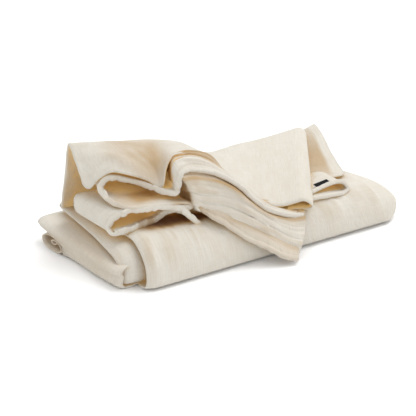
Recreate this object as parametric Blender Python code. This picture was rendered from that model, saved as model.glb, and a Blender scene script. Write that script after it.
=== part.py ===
"""A muslin burp cloth folded into a long soft pad, its last folds heaped on top.

Lengths are in millimetres and turned into metres at the end. X runs along the pad's front,
Y from its front to its back, Z up. Each fold table below gives the middle of the sheet: a row
is one line across the cloth, and the rows follow the cloth round its folds. Distances are
measured from the pad's near left corner, and the finished object is then centred.
"""

import bpy
import numpy as np

MM = 0.001

SHEET = 2.4             # thickness of the two crinkled gauze layers, sewn as one
FLOOR = SHEET / 2       # height of the middle of a sheet that lies on the floor
CENTRE_X = 163.13
CENTRE_Y = 51.47

NOSE_Z = 14.0           # height of the furthest point of that end
NOSE_TUCK_Z = 4.0       # how near the floor its tucked edge comes
LEFT_ROUND_X = 26.0     # where the layers begin to round over at the left end
PAD_STATIONS = (0.0, 0.03, 0.07, 0.16, 0.36, 0.6, 0.82, 1.0)    # shares of the flat length
NOSE_ANGLES = (25.0, 50.0, 72.0, 90.0, 112.0, 140.0)            # round the right end

# The pad, from its floor layer round the front, over the top, down the back and in again.
PAD = (
    # line            x_left  x_right  nose  left_y      y  right_y  left_z  z_left  z_right
    ("floor back",      22.0,  304.0,  0.0,  134.0, 134.0,  130.0,   FLOOR,  FLOOR,   FLOOR),
    ("floor middle",    20.0,  306.0,  0.0,   70.0,  70.0,   70.0,   FLOOR,  FLOOR,   FLOOR),
    ("floor front",     14.0,  310.0,  0.0,   12.0,  10.0,   16.0,   FLOOR,  FLOOR,   FLOOR),
    ("floor edge",      12.0,  312.0,  0.0,    0.0,  -4.0,    6.0,   FLOOR,  FLOOR,   FLOOR),
    ("toe",             10.0,  314.0,  0.0,   -8.0, -12.5,    0.0,     4.0,    4.2,     4.0),
    ("low belly",       12.0,  331.0, 36.0,  -10.0, -15.5,    0.0,     9.0,   10.0,     8.5),
    ("belly",           13.0,  335.0, 42.0,   -9.0, -13.5,    6.0,    20.0,   22.0,    18.0),
    ("shoulder",        13.0,  335.0, 45.0,   -3.0,  -6.0,   13.0,    34.0,   39.0,    30.0),
    ("crest",           12.0,  335.0, 50.0,   12.0,   8.0,   22.0,    41.5,   49.0,    36.5),
    ("top front",       12.0,  334.0, 58.0,   34.0,  32.0,   39.0,    43.0,   47.0,    37.0),
    ("top middle",      14.0,  329.0, 72.0,   80.0,  80.0,   76.0,    42.0,   45.5,    33.0),
    ("top back",        18.0,  321.0, 74.0,  128.0, 128.0,  112.0,    41.0,   43.5,    30.5),
    ("back fold top",   18.0,  317.0, 70.0,  143.0, 144.0,  126.0,    38.0,   41.0,    28.0),
    ("back fold",       18.0,  312.0, 60.0,  148.0, 149.0,  134.0,    34.0,   35.8,    24.0),
    ("back fold under", 17.0,  290.0,  0.0,  143.5, 144.0,  140.0,    31.0,   31.6,    20.5),
    ("return back",     15.0,  286.0,  0.0,  125.0, 125.0,  124.0,    29.5,   32.5,    21.5),
    ("return middle",    7.0,  288.0,  0.0,   75.0,  75.0,   75.0,    29.5,   36.5,    24.5),
    ("return front",    -2.0,  294.0,  0.0,   34.0,  30.0,   30.0,    29.0,   38.5,    28.5),
    ("inner crest",     -5.0,  296.0,  0.0,   18.0,  12.0,   12.0,    27.0,   36.5,    27.0),
    ("inner belly",     -8.5,  296.0,  0.0,    7.0,   0.0,    0.0,    19.0,   24.0,    18.0),
    ("inner toe",       -8.5,  296.0,  0.0,    5.0,  -2.0,    0.0,     6.0,    8.6,     8.0),
    ("inner end",       -8.5,  296.0,  0.0,    9.5,   5.0,    8.0,     2.4,    4.6,     4.6),
)

# The lower folds, which close the left end: each line runs from the front to the back.
LOWER_FRONT_Y = 10.5
LOWER_BACK_Y = 152.0
LOWER = (
    # line            x_front  z_front  x_back  z_back
    ("inside left",      32.0,    13.0,   36.0,   13.0),
    ("inside",          150.0,    12.0,  150.0,   11.8),
    ("inside right",    281.0,    11.4,  281.0,   11.2),
    ("right fold",      284.4,     8.2,  284.4,    8.2),
    ("floor right",     281.0,     5.0,  281.0,    5.0),
    ("floor",           150.0,     5.0,  150.0,    5.0),
    ("floor left",       26.0,     4.9,   26.0,    4.6),
    ("floor edge",        7.0,     1.8,    8.0,    1.6),
    ("low fold",         -5.0,     1.5,   -2.9,    1.4),
    ("low tip",          -8.5,     4.6,   -6.1,    4.6),
    ("low fold top",     -8.5,     7.4,   -2.9,    7.8),
    ("tuck in",          -7.8,     9.0,    1.5,    8.0),
    ("tuck",             -7.5,    10.4,    4.8,   11.2),
    ("tuck out",         -7.8,    11.8,    1.5,   14.4),
    ("end fold low",     -8.4,    13.6,   -3.5,   14.8),
    ("end fold",         -8.8,    17.6,   -8.0,   18.6),
    ("end fold top",     -5.4,    21.8,   -4.0,   22.4),
    ("upper left",        7.0,    23.9,    9.0,   23.8),
    ("upper",           150.0,    21.5,  150.0,   20.5),
    ("upper right",     268.0,    17.4,  268.0,   16.2),
    ("upper turn",     275.5,    19.4,  275.5,   16.4),
    ("upper end",      278.0,    27.6,  278.0,   21.6),
)

# The loose pleats on top. Their hem faces the front and their back ends run in under the peak.
PLEATS = (
    # line              hem_x  hem_y  hem_z  back_x  back_y  back_z
    ("rise",             80.0,  30.0,  97.0,   84.0,   88.0,   93.0),
    ("rise low",         76.0,  23.5,  89.0,   80.0,   88.0,   88.5),
    ("turn",             79.8,  19.5,  84.0,   80.0,   90.0,   86.0),
    ("turn low",         76.5,  19.5,  79.6,   77.0,   94.0,   83.0),
    ("upper leg right",  67.0,  22.5,  79.0,   68.0,  112.0,   86.0),
    ("upper leg",        54.0,  41.0,  85.0,   54.0,  122.0,   90.0),
    ("upper leg left",   32.0,  60.0,  93.5,   30.0,  124.0,   92.0),
    ("first tip top",    18.0,  68.0,  92.5,   15.0,  122.0,   90.5),
    ("first tip",        11.0,  70.0,  85.0,    9.0,  108.0,   85.0),
    ("first tip low",    13.0,  60.0,  75.5,   12.0,   98.0,   78.5),
    ("second leg left",  24.0,  43.0,  73.0,   25.0,   96.0,   76.0),
    ("second leg",       52.0,  36.0,  74.5,   54.0,   92.0,   75.0),
    ("second leg right", 80.5,  27.0,  74.6,   84.0,   90.0,   74.6),
    ("right fold",       84.3,  20.5,  71.2,   88.0,   88.0,   71.0),
    ("third leg right",  80.5,  14.0,  67.6,   84.0,   86.0,   67.2),
    ("third leg",        47.0,  18.0,  69.8,   50.0,   88.0,   67.0),
    ("third leg left",   19.0,  31.0,  68.0,   20.0,   92.0,   68.5),
    ("second tip top",    6.5,  36.0,  65.0,    3.0,   94.0,   67.5),
    ("second tip",       -0.5,  38.0,  57.0,   -6.0,   95.0,   58.0),
    ("second tip low",    5.0,  30.0,  50.2,    0.0,   92.0,   50.5),
    ("lowest leg left",  20.0,  24.0,  51.8,   20.0,   95.0,   50.5),
    ("lowest leg",       42.0,  31.0,  51.5,   45.0,   94.0,   51.5),
    ("arch left",        56.0,  32.0,  56.0,   60.0,   90.0,   56.0),
    ("arch",             68.0,  28.0,  60.5,   72.0,   86.0,   59.0),
    ("arch right",       79.0,  17.0,  56.5,   83.0,   80.0,   54.5),
    ("lowest leg right", 88.0,  10.0,  51.0,   94.0,   74.0,   50.0),
)

# The peak and the panel to its right are one sheet over a ridge, with a wall behind.
RIDGE = (
    # section         low_x  low_y  low_z  ridge_x  ridge_y  ridge_z  belly  foot_y  foot_z
    ("left edge",       4.0,  78.0,  80.0,     0.0,   110.0,   118.0,   1.0,  124.0,   46.0),
    ("left",           31.0,  68.0,  98.5,    38.0,   107.0,   111.5,   3.0,  130.0,   41.0),
    ("middle",         57.0,  46.0,  89.5,    68.0,   103.0,   106.5,   6.0,  132.0,   40.0),
    ("beside rise",    67.0,  33.0,  86.5,    92.0,   100.0,   103.0,   7.0,  132.0,   40.0),
    ("over rise",      84.0,  46.0, 101.0,   115.0,    95.0,    97.0,   3.0,  132.0,   39.5),
    ("roll start",    114.0,  46.0,  96.0,   136.0,    92.0,    85.5,   1.0,  132.0,   39.0),
    ("notch",         130.0,  34.0,  84.0,   157.0,    90.0,    75.5,   0.0,  132.0,   38.5),
    ("after notch",   146.0,  20.0,  68.0,   180.0,    98.0,    70.5,   0.0,  132.0,   38.0),
    ("panel left",    162.0,   8.0,  52.5,   204.0,   105.0,    67.5,   0.0,  133.0,   37.0),
    ("panel",         178.0,   0.0,  45.0,   246.0,   111.0,    62.5,   1.0,  135.0,   36.0),
    ("panel right",   197.0,  -9.0,  48.0,   276.0,   116.0,    58.5,   1.5,  137.0,   34.5),
    ("fold top",      209.0, -16.0,  49.0,   290.0,   118.0,    56.4,   0.0,  137.0,   34.0),
    ("right fold",    212.0, -18.0,  45.6,   293.2,   116.0,    52.9,   0.0,  133.5,   34.0),
    ("fold under",    209.0, -16.0,  42.2,   290.0,   114.0,    49.4,   0.0,  130.0,   34.0),
    ("return",        198.0,  -8.5,  42.2,   280.0,   110.0,    49.0,   0.0,  130.0,   34.0),
)

# The rolled ridge that runs down from the rise to the front corner.
ROLL = (
    # section      crest_x  crest_y  crest_z  half_width
    ("start",         86.0,    38.0,   105.5,       6.5),
    ("bend",         103.0,    33.0,   106.0,       8.5),
    ("fall",         123.0,    21.0,    92.5,       9.0),
    ("slope",        141.0,    12.0,    74.0,       7.0),
    ("low slope",    157.0,     2.5,    57.5,       5.5),
    ("foot",         172.0,    -4.0,    48.5,       6.0),
    ("end",          189.0,   -13.0,    45.0,       6.5),
    ("corner",       201.0,   -18.0,    43.0,       5.5),
)
ROLL_DROP = 0.95        # how far each side of the roll falls, in half widths

# The corner of the cloth hangs from under the roll over the pad's front to the floor.
FLAP = (
    # section      hem_x  hem_y  hem_z  bulge
    ("left side",   87.0,   8.0,  62.0,   3.0),
    ("over front", 102.0,  -1.0,  52.0,   5.0),
    ("shoulder",   115.0, -15.0,  39.0,   6.0),
    ("belly",      131.0, -24.0,  24.0,   7.0),
    ("low belly",  146.0, -34.0,  13.0,   7.0),
    ("foot",       158.0, -43.0,   4.5,   6.0),
    ("tip",        170.0, -48.0,   2.0,   5.0),
    ("right edge", 186.0, -38.0,  18.0,   2.0),
)

# The top layer that shows behind the panel, with a shallow valley across it.
BACK_LAYER = (
    # line          left_x  left_y  left_z  right_x  right_y  right_z
    ("front edge",   222.0,   10.5,   52.4,   279.0,    13.0,    51.0),
    ("brow",         226.0,   22.0,   53.6,   283.0,    24.0,    51.0),
    ("valley",       235.0,   46.0,   44.0,   292.0,    47.0,    43.0),
    ("middle",       250.0,   78.0,   43.0,   303.0,    78.0,    46.0),
    ("back",         270.0,  108.0,   44.5,   313.0,   108.0,    50.0),
    ("corner",       280.0,  128.0,   47.0,   321.0,   130.0,    54.0),
    ("corner fold",  282.0,  139.0,   43.0,   318.0,   138.0,    46.0),
    ("corner foot",  276.0,  140.0,   26.0,   300.0,   137.0,    19.0),
)

# The small hemmed loop in front of that layer, closed at its right.
LOOP_MIDDLE_Y = 35.0
LOOP_BACK_Y = 48.5
LOOP_LIFT = 7.0         # how far the upper leg's back end turns up
LOOP = (
    # line             hem_x  hem_y  hem_z  lift
    ("upper left",     226.0,   7.0,  46.6,  1.0),
    ("upper",          250.0,   9.5,  47.2,  1.0),
    ("upper right",    274.4,   8.0,  47.3,  1.0),
    ("tip",            278.0,   4.0,  43.9,  0.5),
    ("lower right",    274.4,   0.0,  40.6,  0.0),
    ("lower",          250.0,   1.5,  41.0,  0.0),
    ("lower left",     226.0,   2.5,  41.6,  0.0),
)

# The folded label, caught in the hem of the small loop and lying on it.
LABEL_THICK = 0.9
LABEL_LEFT_X = 234.0
LABEL_RIGHT_X = 251.5
LABEL_FRONT_Y = 8.5
LABEL_BACK_Y = 14.0
LABEL_CLEAR = 0.55

CREAM = (0.86, 0.81, 0.71, 1.0)
BLACK = (0.02, 0.02, 0.02, 1.0)


def columns(table):
    """The numbers of a table, without the names of its rows."""
    return np.array([row[1:] for row in table], float)


def knots_of(line):
    """Parameter values that keep a curve through uneven points free of overshoot."""
    steps = np.sqrt(np.linalg.norm(np.diff(line, axis=0), axis=1))
    return np.concatenate([[0.0], np.cumsum(np.maximum(steps, 1e-6))])


def curve(knots, values, at):
    """A smooth curve through the values, taken at the given parameters."""
    step = np.diff(knots)
    slope = np.diff(values, axis=0) / step.reshape((-1,) + (1,) * (values.ndim - 1))
    tangent = np.empty_like(values)
    tangent[0] = slope[0]
    tangent[-1] = slope[-1]
    for i in range(1, len(values) - 1):
        before, after = step[i - 1], step[i]
        tangent[i] = (slope[i - 1] * after + slope[i] * before) / (before + after)
    span = np.clip(np.searchsorted(knots, at, side="right") - 1, 0, len(step) - 1)
    wide = step[span]
    t = (at - knots[span]) / wide
    shape = (-1,) + (1,) * (values.ndim - 1)
    t, wide = t.reshape(shape), wide.reshape(shape)
    start, end = values[span], values[span + 1]
    return ((2 * t**3 - 3 * t**2 + 1) * start + (t**3 - 2 * t**2 + t) * wide * tangent[span]
            + (3 * t**2 - 2 * t**3) * end + (t**3 - t**2) * wide * tangent[span + 1])


def even_run(knots, net, spacing):
    """The net's lines at an even spacing along its middle column, with tight turns eased."""
    dense = np.linspace(knots[0], knots[-1], 4000)
    path = curve(knots, net, dense)
    middle = path[:, path.shape[1] // 2]
    length = np.concatenate([[0.0], np.cumsum(np.linalg.norm(np.diff(middle, axis=0), axis=1))])
    even = np.interp(np.arange(0.0, length[-1], spacing), length, dense)
    run = curve(knots, net, np.append(even, knots[-1]))
    for reach in (3, 3, 3):
        eased = run.copy()
        for i in range(reach, len(run) - reach):
            eased[i] = run[i - reach:i + reach + 1].mean(axis=0)
        run = eased
    return run


def stations(line, count, long_step, turn_step):
    """Places along a run for count rings, close together where the cloth turns sharply."""
    along = np.diff(line, axis=0)
    length = np.linalg.norm(along, axis=1)
    unit = along / length[:, None]
    turn = np.arccos(np.clip((unit[1:] * unit[:-1]).sum(axis=1), -1, 1))
    effort = length / long_step + np.concatenate([[0.0], turn]) / turn_step
    reached = np.concatenate([[0.0], np.cumsum(effort)])
    return np.interp(np.linspace(0, reached[-1], count), reached, np.arange(len(line)))


def picked(run, at):
    """The run's lines at fractional places along it."""
    low = np.minimum(at.astype(int), len(run) - 2)
    share = (at - low)[:, None, None]
    return run[low] * (1 - share) + run[low + 1] * share


def smooth_net(net, rings, across, long_step=45.0):
    """A finer net through the net's points: rings follow the rows, across the columns."""
    run = even_run(knots_of(net[:, net.shape[1] // 2]), net, 0.5)
    net = picked(run, stations(run[:, run.shape[1] // 2], rings, long_step, 0.35))
    if net.shape[1] == 2:
        share = np.linspace(0, 1, across)[None, :, None]
        net = net[:, :1] * (1 - share) + net[:, 1:] * share
        net[:, :, 2] = np.maximum(net[:, :, 2], FLOOR)
        return net
    turned = net.transpose(1, 0, 2)
    run = even_run(knots_of(turned[:, turned.shape[1] // 2]), turned, 0.5)
    at = stations(run[:, run.shape[1] // 2], across, long_step, 0.5)
    net = picked(run, at).transpose(1, 0, 2)
    net[:, :, 2] = np.maximum(net[:, :, 2], FLOOR)
    return net


def directions(net):
    """Unit vectors along the first axis, each halfway between the steps on its two sides."""
    step = np.diff(net, axis=0)
    step = step / np.linalg.norm(step, axis=2, keepdims=True)
    both = np.concatenate([step[:1], step[:-1] + step[1:], step[-1:]])
    return both / np.linalg.norm(both, axis=2, keepdims=True)


def normals_of(net):
    along = directions(net)
    across = directions(net.transpose(1, 0, 2)).transpose(1, 0, 2)
    normal = np.cross(along, across)
    return normal / np.linalg.norm(normal, axis=2, keepdims=True)


def sheet_mesh(name, net, thick):
    """A closed sheet of even thickness whose middle is the net."""
    rings, width = net.shape[:2]
    offset = normals_of(net) * thick / 2
    points = np.concatenate([(net + offset).reshape(-1, 3), (net - offset).reshape(-1, 3)])
    points = (points - (CENTRE_X, CENTRE_Y, 0.0)) * MM
    under = rings * width
    faces = []
    for i in range(rings - 1):
        for j in range(width - 1):
            a = i * width + j
            b, c, d = a + 1, a + width + 1, a + width
            faces.append((a, d, c, b))
            faces.append((a + under, b + under, c + under, d + under))
    border = [j for j in range(width)]
    border += [i * width + width - 1 for i in range(1, rings)]
    border += [(rings - 1) * width + j for j in range(width - 2, -1, -1)]
    border += [i * width for i in range(rings - 2, 0, -1)]
    for a, b in zip(border, border[1:] + border[:1]):
        faces.append((a, b, b + under, a + under))
    mesh = bpy.data.meshes.new(name)
    mesh.from_pydata(points.tolist(), [], faces)
    mesh.validate()
    mesh.update()
    return bpy.data.objects.new(name, mesh)


def rounded(distance, length):
    """1 away from an end, falling to 0 at it as a quarter circle does."""
    share = np.clip(distance / length, 0.0, 1.0)
    return np.sqrt(1.0 - (1.0 - share) ** 2)


def pad_net():
    net = []
    turn = np.radians(NOSE_ANGLES)
    for x_left, x_right, nose, left_y, y, right_y, left_z, z_left, z_right in columns(PAD):
        reach = nose or 10.0
        flat_end = x_right - reach
        x = x_left + (flat_end - x_left) * np.array(PAD_STATIONS)
        share = (x - x_left) / (x_right - x_left)
        left = rounded(x - x_left, LEFT_ROUND_X - x_left)
        z = z_left + (z_right - z_left) * share
        z = left_z + (z - left_z) * left
        y_flat = y + (left_y - y) * (1 - left)
        if nose > 0:
            fall = np.cos(turn)
            end_x = flat_end + reach * np.sin(turn)
            nose_z = min(NOSE_Z, z[-1])
            end_z = np.where(fall > 0, nose_z + (z[-1] - nose_z) * fall,
                             nose_z + (nose_z - NOSE_TUCK_Z) * fall)
            end_y = y + (right_y - y) * (1 - np.maximum(fall, 0))
        else:
            run = turn / turn[-1]
            end_x = flat_end + reach * run
            end_z = z[-1] + (z_right - z[-1]) * run
            end_y = y + (right_y - y) * run**2
        net.append(np.stack([np.concatenate(pair) for pair in
                             ((x, end_x), (y_flat, end_y), (z, end_z))], axis=1))
    return np.array(net)


def lower_net():
    net = []
    for x_front, z_front, x_back, z_back in columns(LOWER):
        net.append([(x_front, LOWER_FRONT_Y, z_front), (x_back, LOWER_BACK_Y, z_back)])
    return np.array(net)


def pleats_net():
    table = columns(PLEATS)
    return np.stack([table[:, :3], table[:, 3:]], axis=1)


def ridge_net():
    net = []
    for row in columns(RIDGE):
        low, ridge, belly = row[:3], row[3:6], row[6]
        foot = np.array([ridge[0], row[7], row[8]])
        rise = ridge - low
        out = np.cross((1.0, 0.0, 0.0), rise)
        out = out / np.linalg.norm(out)
        brow = low + 0.92 * rise + out * (0.35 * belly + 0.5)
        middle = low + 0.5 * rise + out * belly
        behind = ridge + (foot - ridge) * (0.0, 0.38, 0.08)
        wall = ridge + (foot - ridge) * (0.0, 0.85, 0.5)
        net.append([low, middle, brow, ridge, behind, wall, foot, foot - (0.0, 0.0, 3.0)])
    return np.array(net).transpose(1, 0, 2)


def roll_frames():
    """Crest points, the level direction out from under the roll at each, and half widths."""
    table = columns(ROLL)
    crest = table[:, :3]
    along = np.gradient(crest, axis=0)
    out = np.stack([along[:, 1], -along[:, 0], np.zeros(len(crest))], axis=1)
    out = out / np.linalg.norm(out, axis=1, keepdims=True)
    return crest, out, table[:, 3:4]


def roll_net():
    crest, out, half = roll_frames()
    down = half * (0.0, 0.0, -ROLL_DROP)
    return np.stack([
        crest + out * half * 0.95 + down * 1.25,
        crest + out * half * 1.05 + down * 0.55,
        crest + out * half * 0.55 + down * 0.08,
        crest,
        crest - out * half * 0.6 + down * 0.12,
        crest - out * half * 1.1 + down * 0.7,
        crest - out * half * 1.45 + down * 1.45,
    ])


def flap_net():
    crest, out, half = roll_frames()
    table = columns(FLAP)
    hem, bulge = table[:, :3], table[:, 3:4]
    under = crest + out * half * 0.35 - half * (0.0, 0.0, 0.85)
    fall = hem - under
    level_out = out * bulge + bulge * (0.0, 0.0, 0.55)
    return np.stack([
        crest,
        crest + out * half * 0.12 - half * (0.0, 0.0, 0.45),
        under,
        under + fall * 0.3 + level_out * 0.7,
        under + fall * 0.62 + level_out,
        under + fall * 0.85 + level_out * 0.5,
        hem,
    ])


def back_layer_net():
    table = columns(BACK_LAYER)
    return np.stack([table[:, :3], table[:, 3:]], axis=1)


def loop_net():
    net = []
    for x, y, z, lift in columns(LOOP):
        net.append([
            (x, y, z),
            (x + 2.0, LABEL_BACK_Y, z - 0.3 * lift),
            (x + 4.0, LOOP_MIDDLE_Y, z + 0.5 * lift),
            (x + 6.0, LOOP_BACK_Y, z + LOOP_LIFT * lift),
        ])
    return np.array(net)


def label_net():
    hems = columns(LOOP)
    x = np.linspace(LABEL_LEFT_X, LABEL_RIGHT_X, 3)
    z = np.interp(x, hems[:3, 0], hems[:3, 2]) + SHEET / 2 + LABEL_CLEAR + LABEL_THICK / 2
    y = (LABEL_FRONT_Y, LABEL_BACK_Y)
    return np.array([[(x[i], y[j] + 0.12 * (x[i] - x[0]), z[i] + 0.3 * j) for j in (0, 1)]
                     for i in range(3)])


def material(name, colour, roughness):
    made = bpy.data.materials.new(name)
    made.use_nodes = True
    shader = made.node_tree.nodes["Principled BSDF"]
    shader.inputs["Base Color"].default_value = colour
    shader.inputs["Roughness"].default_value = roughness
    shader.inputs["Metallic"].default_value = 0.0
    return made


for old in list(bpy.data.objects):
    bpy.data.objects.remove(old, do_unlink=True)

parts = bpy.data.collections.new("burp_cloth")
helpers = bpy.data.collections.new("cutters")
bpy.context.scene.collection.children.link(parts)
bpy.context.scene.collection.children.link(helpers)

cloth = sheet_mesh("cloth", smooth_net(pad_net(), 45, 14), SHEET)
parts.objects.link(cloth)
cloth.data.materials.append(material("muslin", CREAM, 0.9))

FOLDS = (
    ("lower_folds", smooth_net(lower_net(), 64, 4)),
    ("ridge_sheet", smooth_net(ridge_net(), 18, 24, 18.0)),
    ("pleats", smooth_net(pleats_net(), 64, 5)),
    ("roll", smooth_net(roll_net(), 12, 14)),
    ("flap", smooth_net(flap_net(), 12, 14)),
    ("back_layer", smooth_net(back_layer_net(), 12, 5)),
    ("small_loop", smooth_net(loop_net(), 20, 4)),
)
for name, net in FOLDS:
    fold = sheet_mesh(name, net, SHEET)
    helpers.objects.link(fold)
    fold.hide_render = True
    join = cloth.modifiers.new("join " + name, "BOOLEAN")
    join.operation = "UNION"
    join.solver = "EXACT"
    join.object = fold

label = sheet_mesh("label", label_net(), LABEL_THICK)
parts.objects.link(label)
label.data.materials.append(material("label_black", BLACK, 0.6))
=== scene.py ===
"""A cream muslin burp cloth folded into a long soft pad, with its last folds heaped on top.

Tables are in millimetres from the pad's near left corner: X along its front, Y to its back, Z up.
"""

import math

import bpy
import numpy as np
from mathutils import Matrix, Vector
from mathutils.bvhtree import BVHTree


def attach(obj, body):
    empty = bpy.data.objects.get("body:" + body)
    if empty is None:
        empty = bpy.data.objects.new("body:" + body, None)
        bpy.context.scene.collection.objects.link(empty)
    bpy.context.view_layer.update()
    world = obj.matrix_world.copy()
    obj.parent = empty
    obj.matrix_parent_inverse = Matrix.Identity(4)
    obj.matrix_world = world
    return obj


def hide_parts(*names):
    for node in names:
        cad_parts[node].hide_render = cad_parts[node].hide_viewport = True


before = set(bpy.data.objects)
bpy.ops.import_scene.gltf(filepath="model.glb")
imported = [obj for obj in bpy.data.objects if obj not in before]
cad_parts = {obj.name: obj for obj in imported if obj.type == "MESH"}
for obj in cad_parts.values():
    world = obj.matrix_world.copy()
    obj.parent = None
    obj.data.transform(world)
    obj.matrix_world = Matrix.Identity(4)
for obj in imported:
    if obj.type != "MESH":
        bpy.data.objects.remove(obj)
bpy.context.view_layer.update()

# ------------------------------------------------------------
# The cloth. One cut square of double-gauze muslin, two thin cotton layers caught together every
# few millimetres so that they crinkle, with a narrow puckered hem turned and sewn on its edges.
# It is folded over and over into a pad, and what is left over lies on top in loose folds.
# ------------------------------------------------------------
MM = 0.001
CENTRE = (163.13, 51.47, 0.0)     # where the frame's origin lies in the tables
HALF = 1.1                        # half the thickness of the two gauze layers
END_SHARE = 0.55                  # what is left of it at the ends of a sheet
LOWEST = 1.2                      # height of the middle of a sheet on the floor
FLOOR_GAP = 0.05

RUN_STEP = 0.5          # how closely a run of folds is followed before its lines are placed
RUN_POINTS = 4000
SOFTENED = 3            # rounds of easing, and how many lines to each side they take in
BEND = 0.22             # the turn, in radians, that earns a line of its own


def columns(table):
    """The numbers of a table, without the names of its rows."""
    return np.array([row[1:] for row in table], float)


def turned(net):
    return net.transpose(1, 0, 2)


def lengths(net, axis):
    """The length of each step of a net along an axis."""
    return np.linalg.norm(np.diff(net, axis=axis), axis=-1)


def summed(steps):
    """The running total of the steps, from 0."""
    return np.concatenate([[0.0], np.cumsum(steps)])


def curve(knots, values, at):
    """A smooth curve through the values, taken at the given parameters."""
    step = np.diff(knots)
    shape = (-1,) + (1,) * (values.ndim - 1)
    slope = np.diff(values, axis=0) / step.reshape(shape)
    tangent = np.empty_like(values)
    tangent[0], tangent[-1] = slope[0], slope[-1]
    for i in range(1, len(values) - 1):
        before, after = step[i - 1], step[i]
        tangent[i] = (slope[i - 1] * after + slope[i] * before) / (before + after)
    span = np.clip(np.searchsorted(knots, at, side="right") - 1, 0, len(step) - 1)
    wide = step[span]
    t = ((at - knots[span]) / wide).reshape(shape)
    wide = wide.reshape(shape)
    start, end = values[span], values[span + 1]
    return ((2 * t**3 - 3 * t**2 + 1) * start + (t**3 - 2 * t**2 + t) * wide * tangent[span]
            + (3 * t**2 - 2 * t**3) * end + (t**3 - t**2) * wide * tangent[span + 1])


def eased(run):
    """The run's lines averaged with their neighbours, so that tight turns are soft."""
    for _ in range(SOFTENED):
        soft = run.copy()
        for i in range(SOFTENED, len(run) - SOFTENED):
            soft[i] = run[i - SOFTENED:i + SOFTENED + 1].mean(axis=0)
        run = soft
    return run


def fine_rows(net, step, bend=BEND):
    """The net with its rows a step apart, and closer together where the cloth turns sharply.

    step is one number or one for each row.
    """
    middle = net.shape[1] // 2
    knots = summed(np.maximum(np.sqrt(lengths(net[:, middle], 0)), 1e-6))
    dense = np.linspace(knots[0], knots[-1], RUN_POINTS)
    length = summed(lengths(curve(knots, net, dense)[:, middle], 0))
    at = np.interp(np.arange(0.0, length[-1], RUN_STEP), length, dense)
    at = np.append(at, knots[-1])
    run = eased(curve(knots, net, at))
    step_there = np.interp(at, knots, np.broadcast_to(step, len(net)))[:-1]

    along = np.diff(run[:, middle], axis=0)
    length = np.linalg.norm(along, axis=1)
    unit = along / length[:, None]
    turn = np.arccos(np.clip((unit[1:] * unit[:-1]).sum(axis=1), -1, 1))
    effort = summed(length / step_there + np.concatenate([[0.0], turn]) / bend)
    count = int(math.ceil(effort[-1])) + 1
    place = np.interp(np.linspace(0, effort[-1], count), effort, np.arange(len(run)))
    low = np.minimum(place.astype(int), len(run) - 2)
    share = (place - low)[:, None, None]
    return run[low] * (1 - share) + run[low + 1] * share


def fine(net, step, step_across, bend=BEND, bend_across=BEND):
    """The net made fine both ways."""
    return turned(fine_rows(turned(fine_rows(net, step, bend)), step_across, bend_across))


def directions(net):
    """Unit vectors along the first axis, each halfway between the steps on its two sides."""
    step = np.diff(net, axis=0)
    step = step / np.maximum(np.linalg.norm(step, axis=2, keepdims=True), 1e-9)
    both = np.concatenate([step[:1], step[:-1] + step[1:], step[-1:]])
    return both / np.maximum(np.linalg.norm(both, axis=2, keepdims=True), 1e-9)


def normals_of(net):
    normal = np.cross(directions(net), turned(directions(turned(net))))
    return normal / np.maximum(np.linalg.norm(normal, axis=2, keepdims=True), 1e-9)


def moved(net, height):
    """The net moved out along its normals."""
    return net + normals_of(net) * height[..., None]


def fabric_of(net):
    """Each point's place on the flat cloth: along the rows and across them, in millimetres."""
    down = summed(lengths(net, 0).mean(axis=1))
    over = summed(lengths(net, 1).mean(axis=0))
    return np.stack(np.meshgrid(down, over, indexing="ij"), axis=2)


CRINKLE_CELLS = 64
CRINKLE_START = (7.3, 3.1)        # the cells at the corner of the cloth


def crinkle(where, along, across, seed):
    """Smooth uneven ripples from -1 to 1, in cells of the given size on the flat cloth."""
    lattice = np.random.default_rng(seed).uniform(-1, 1, (CRINKLE_CELLS, CRINKLE_CELLS))
    u = where[..., 0] / along + CRINKLE_START[0]
    v = where[..., 1] / across + CRINKLE_START[1]
    i, j = np.floor(u).astype(int), np.floor(v).astype(int)
    a, b = u - i, v - j
    a, b = a * a * (3 - 2 * a), b * b * (3 - 2 * b)
    near, far = i % CRINKLE_CELLS, (i + 1) % CRINKLE_CELLS
    left, right = j % CRINKLE_CELLS, (j + 1) % CRINKLE_CELLS
    return ((lattice[near, left] * (1 - a) + lattice[far, left] * a) * (1 - b)
            + (lattice[near, right] * (1 - a) + lattice[far, right] * a) * b)


def ramp(value, start, end, least=0.0):
    """A straight rise from 0 at start to 1 at end, never under least or over 1."""
    return np.clip((value - start) / (end - start), least, 1.0)


def rippled(where, *ripples):
    """The height of ripples, each given as its cells' length and width, its seed and height."""
    return sum(height * crinkle(where, along, across, seed)
               for along, across, seed, height in ripples)


# Places that the cloth over them keeps dark, or where it lets the light in, as painted shade.
# Past 1 the shade turns from tan to brown. gold is the share of the painted golden fold shade
# left there.
SPOTS = (
    # place                  x      y      z reach_x reach_y reach_z shade  gold
    ("under the arch",      67,  30.5,  46.5,     31,   17.5,    4.5, 2.00, 1.00),
    ("beside the corner",  101,  24.0,  45.5,     10,   11.0,    4.5, 1.90, 1.00),
    ("first loop back",     49,  45.0,  73.0,     17,   14.0,    4.0, 0.70, 1.00),
    ("first loop floor",    38,  45.0,  73.3,     28,   22.0,    4.0, 0.40, 1.00),
    ("peak top",            58,  86.0, 107.0,     26,   17.0,   14.0, 0.32, 1.00),
    ("tongue",              76,  22.0,  72.0,     13,   11.0,    5.0, 0.75, 1.00),
    ("corner side",         86,  24.0,  76.0,      6,   11.0,   14.0, 0.90, 1.00),
    ("peak right",          63,  56.0,  97.0,     21,   21.0,   14.0, 0.40, 1.00),
    ("left low",            -9,  60.0,  16.0,      8,   54.0,   13.0, 0.25, 0.50),
    ("left end",            -8, 122.0,   8.0,      9,   20.0,    9.0, 0.40, 0.50),
    ("lobe",                10,  62.0,  74.0,     14,   40.0,    9.0, 0.00, 0.25),
)


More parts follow.
